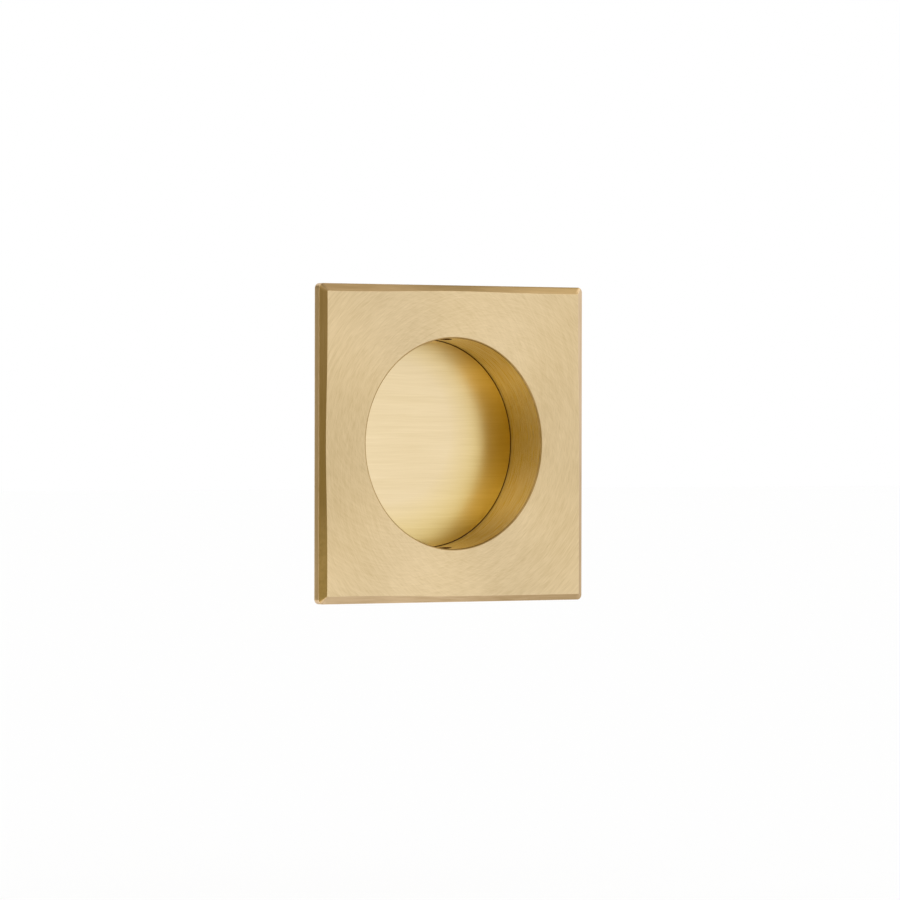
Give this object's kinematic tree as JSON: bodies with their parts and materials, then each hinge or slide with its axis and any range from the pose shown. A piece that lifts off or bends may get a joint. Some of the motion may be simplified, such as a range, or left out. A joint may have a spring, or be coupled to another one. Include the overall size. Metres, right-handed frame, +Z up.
{
  "type": "pocket door pull",
  "caption": "Square satin brass flush pull with bevelled edges, a round finger cup with a separate brushed floor, and slanted screw holes hidden in the cup wall.",
  "frame": {"origin": "on the cup's axis, in the plane of the plate's back face, which lies on the door", "axes": "+Z up as fitted on a door, +Y into the door along the cup's axis, front facing -Y"},
  "size_m": [0.0636, 0.0131, 0.0636],
  "materials": {
    "body_brass": "satin brass, brushed round the cup's axis",
    "floor_brass": "satin brass, brushed in straight level lines"
  },
  "bodies": {
    "root": {"pull_body": "body_brass", "floor_disc": "floor_brass"}
  },
  "joints": []
}
